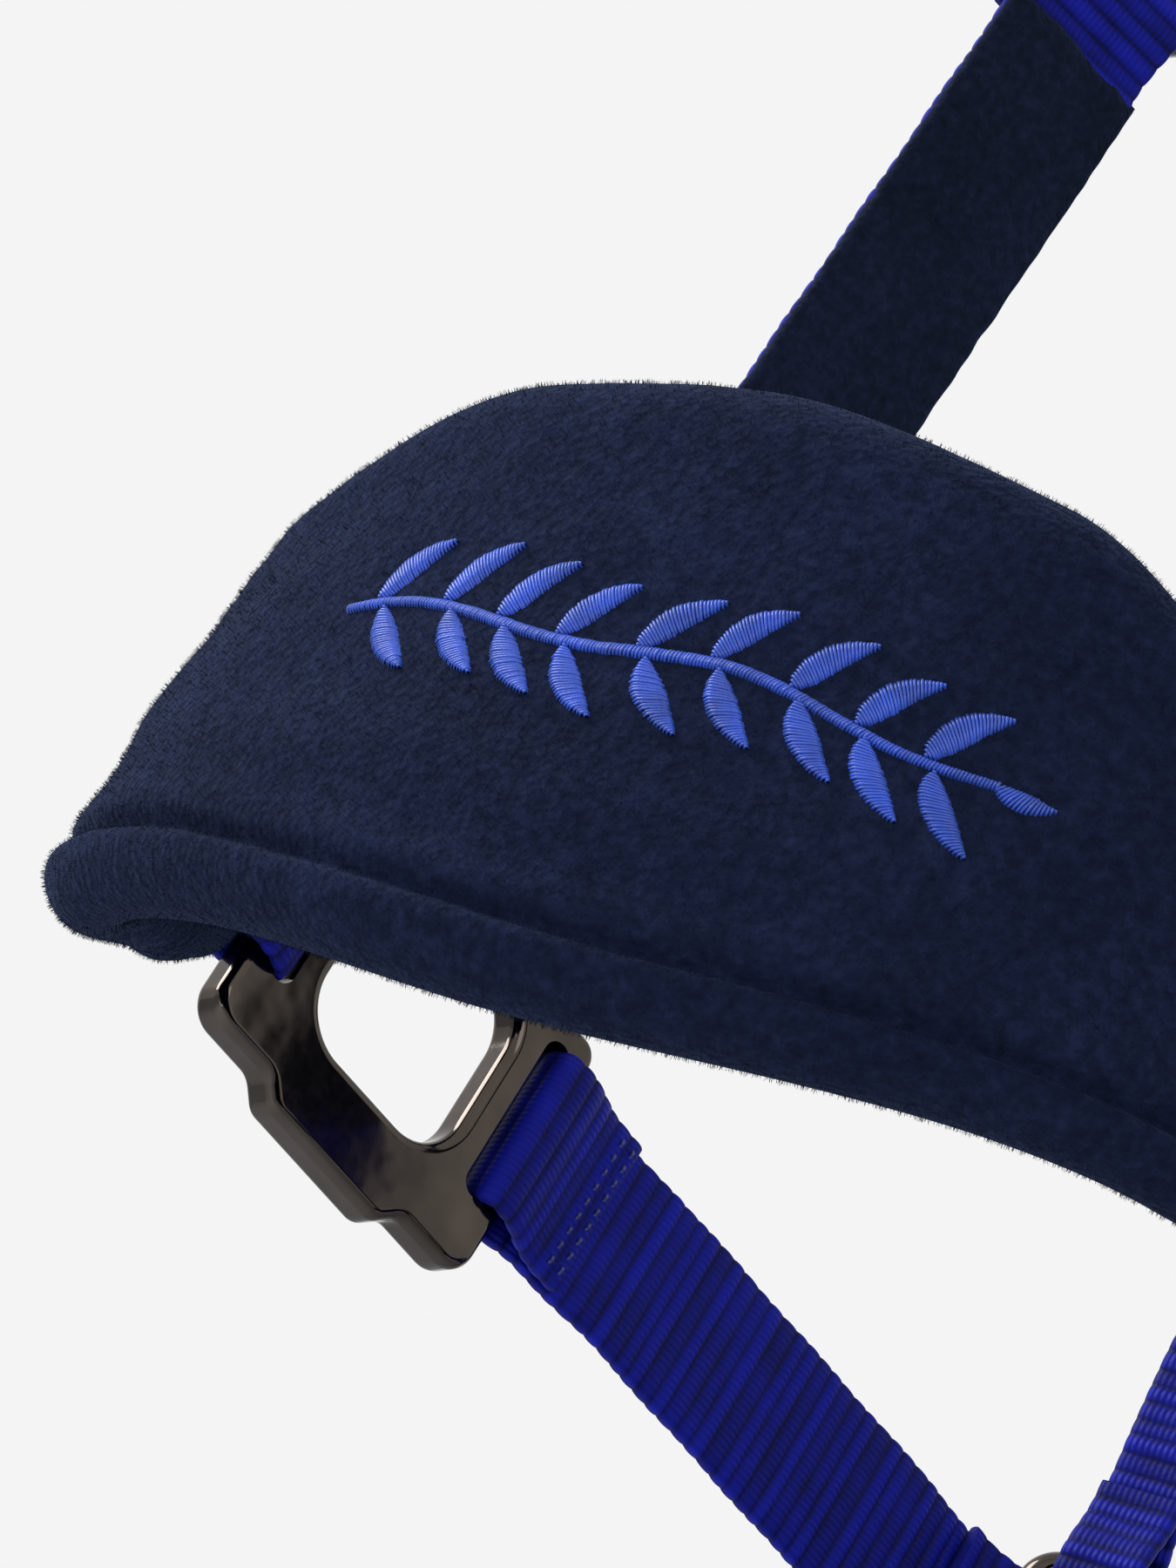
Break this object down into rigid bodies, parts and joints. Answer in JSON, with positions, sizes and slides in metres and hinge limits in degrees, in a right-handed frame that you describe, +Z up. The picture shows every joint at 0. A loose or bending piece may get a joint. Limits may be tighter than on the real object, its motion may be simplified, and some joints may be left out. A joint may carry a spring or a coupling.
{
  "type": "horse headcollar",
  "caption": "Horse headcollar with a fleece-padded noseband, cast square rings, webbing cheek, chin and throat straps, a buckled crown and a round lead ring.",
  "frame": {"origin": "poll seat, the underside of the crown pad at its middle", "axes": "+Z up along the head, -Y towards the front of the nose, +X the near side (the horse's left)"},
  "size_m": [0.1926, 0.2522, 0.4833],
  "materials": {
    "gunmetal": "polished black nickel",
    "steel": "satin",
    "webbing": "ribbed woven webbing",
    "fleece": "brushed fleece",
    "lining": "brushed fleece",
    "foam": "matte foam"
  },
  "bodies": {
    "root": {"off_side_ring": "gunmetal", "near_side_ring": "gunmetal", "off_upper_ring": "gunmetal", "near_upper_ring": "gunmetal", "noseband_webbing": "webbing", "noseband_cover": "fleece", "noseband_foam": "foam", "chin_link": "gunmetal", "off_chin_strap": "webbing", "near_chin_strap": "webbing", "off_cheek_strap": "webbing", "near_cheek_strap": "webbing", "off_cheek_lining": "lining", "near_cheek_lining": "lining", "crown_buckle_frame": "gunmetal", "buckle_strap": "webbing", "crown_strap": "webbing", "crown_eyelets": "gunmetal", "crown_pad": "fleece", "snap_swivel": "gunmetal", "throat_strap": "lining", "jaw_strap": "webbing"},
    "lead_ring": {"lead_ring": "gunmetal"},
    "buckle_roller": {"crown_buckle_roller": "gunmetal"},
    "buckle_tongue": {"crown_buckle_tongue": "gunmetal"},
    "crown_keeper": {"crown_keeper": "webbing"},
    "chin_slide": {"chin_slide": "gunmetal"},
    "snap": {"snap_body": "gunmetal", "snap_spring": "steel"},
    "snap_bolt": {"snap_bolt": "steel"}
  },
  "joints": [
    {"name": "lead_ring_swing", "type": "hinge", "parent": "root", "child": "lead_ring", "pos_m": [0, 0.11191, -0.43748], "axis": [1, 0, 0], "range_deg": [-75, 75]},
    {"name": "buckle_roller_spin", "type": "hinge", "parent": "root", "child": "buckle_roller", "pos_m": [0.04449, 0, -0.09612], "axis": [-0.4838, 0.8749, -0.024], "continuous": true},
    {"name": "buckle_tongue_lift", "type": "hinge", "parent": "root", "child": "buckle_tongue", "pos_m": [0.04598, 0, -0.12609], "axis": [-0.4838, 0.8749, -0.024], "range_deg": [0, 20]},
    {"name": "crown_keeper_slide", "type": "slide", "parent": "root", "child": "crown_keeper", "axis": [-0.0497, 0, 0.9988], "range_m": [-0.004, 0.004]},
    {"name": "chin_slide_move", "type": "slide", "parent": "root", "child": "chin_slide", "axis": [-0.4808, 0.8673, -0.1288], "range_m": [-0.03, 0.012]},
    {"name": "snap_swivel_turn", "type": "hinge", "parent": "root", "child": "snap", "pos_m": [0.03045, 0.04785, -0.19534], "axis": [-0.0042, 0.9988, 0.0479], "range_deg": [-12, 12]},
    {"name": "snap_trigger", "type": "slide", "parent": "snap", "child": "snap_bolt", "axis": [-0.0042, 0.9988, 0.0479], "range_m": [0, 0.008], "stiffness_N_per_m": 300, "springref_m": -0.002}
  ]
}
